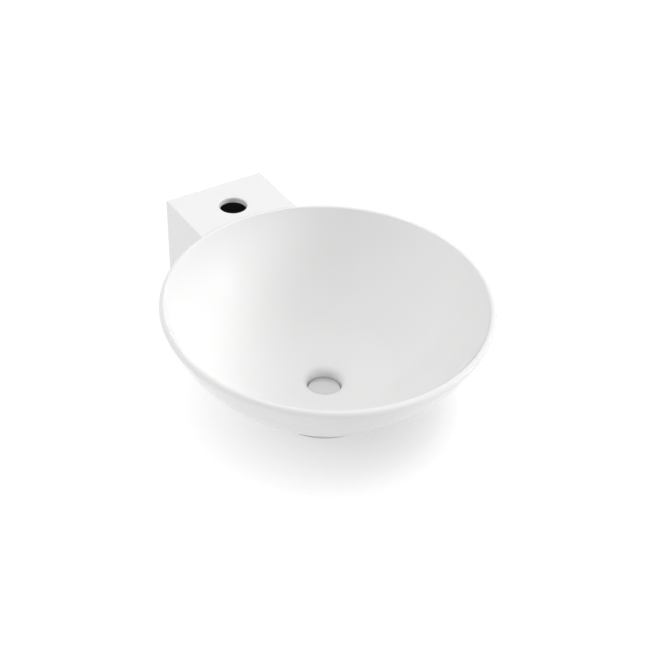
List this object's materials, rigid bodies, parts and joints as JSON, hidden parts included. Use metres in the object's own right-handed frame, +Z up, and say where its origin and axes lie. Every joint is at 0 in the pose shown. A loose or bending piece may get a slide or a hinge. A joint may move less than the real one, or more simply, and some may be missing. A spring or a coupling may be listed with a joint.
{
  "type": "countertop basin",
  "caption": "Round white ceramic countertop basin with a square tap ledge and tap hole; its push-open drain plug rises from the waste to let the water out.",
  "frame": {"origin": "on the counter's top, under the centre of the bowl, in the plane of the foot and of the ledge's lower edge", "axes": "+Z up along the bowl's axis, +Y from the bowl to the tap ledge and the wall, +X to the right of someone at the basin"},
  "size_m": [0.4, 0.482, 0.215],
  "materials": {
    "glaze": "gloss white glaze",
    "white_plastic": "gloss white",
    "black_rubber": "matt",
    "pale_plastic": "matt moulded",
    "brass": "turned",
    "steel": "satin"
  },
  "bodies": {
    "basin": {"ceramic_basin": "glaze", "waste_body": "white_plastic", "flange_gasket": "black_rubber", "sealing_washer": "black_rubber", "slip_washer": "pale_plastic", "back_nut": "pale_plastic", "cartridge_housing": "brass", "cartridge_bush": "pale_plastic", "return_spring": "steel"},
    "plug": {"plug_stem": "steel", "plug_carrier": "pale_plastic", "plug_seal": "black_rubber", "plug_cap": "steel"}
  },
  "joints": [
    {"name": "plug_lift", "type": "slide", "parent": "basin", "child": "plug", "axis": [0, 0, 1], "range_m": [0, 0.009], "deforming": ["return_spring"]}
  ]
}
